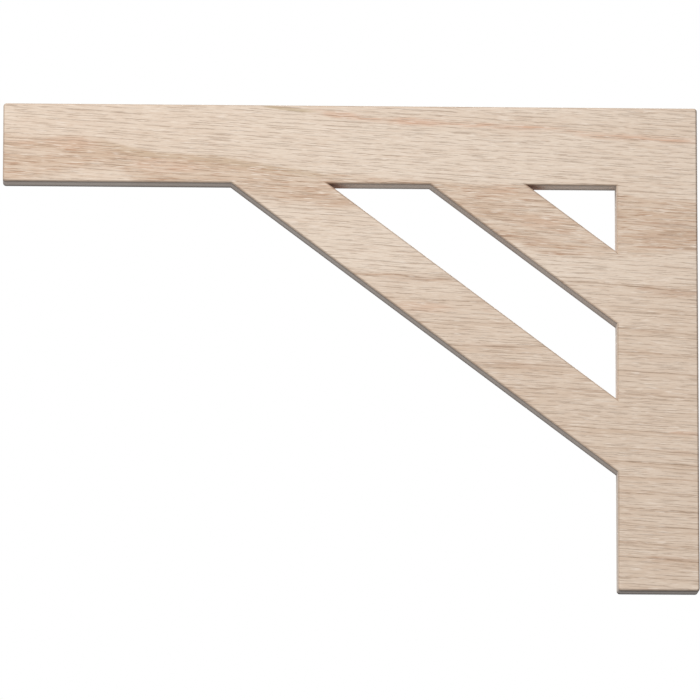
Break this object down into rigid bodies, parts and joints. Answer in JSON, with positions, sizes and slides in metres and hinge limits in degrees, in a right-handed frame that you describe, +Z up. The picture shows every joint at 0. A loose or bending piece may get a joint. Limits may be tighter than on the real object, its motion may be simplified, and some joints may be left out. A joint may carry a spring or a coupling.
{
  "type": "stair bracket",
  "caption": "Flat fretted oak stair bracket: a level rail and an upright leg joined by raking braces, fixed flat under the end of a tread.",
  "frame": {"origin": "on the back face, where the middle line of the rail crosses the middle line of the leg", "axes": "+Z is up, +X runs along the rail from its free end towards the leg, +Y points out of the back face into the surface that holds the bracket, and the show face looks along -Y"},
  "size_m": [0.3048, 0.0127, 0.2143],
  "materials": {
    "oak": "bare, sanded smooth"
  },
  "bodies": {
    "root": {"bracket": "oak"}
  },
  "joints": []
}
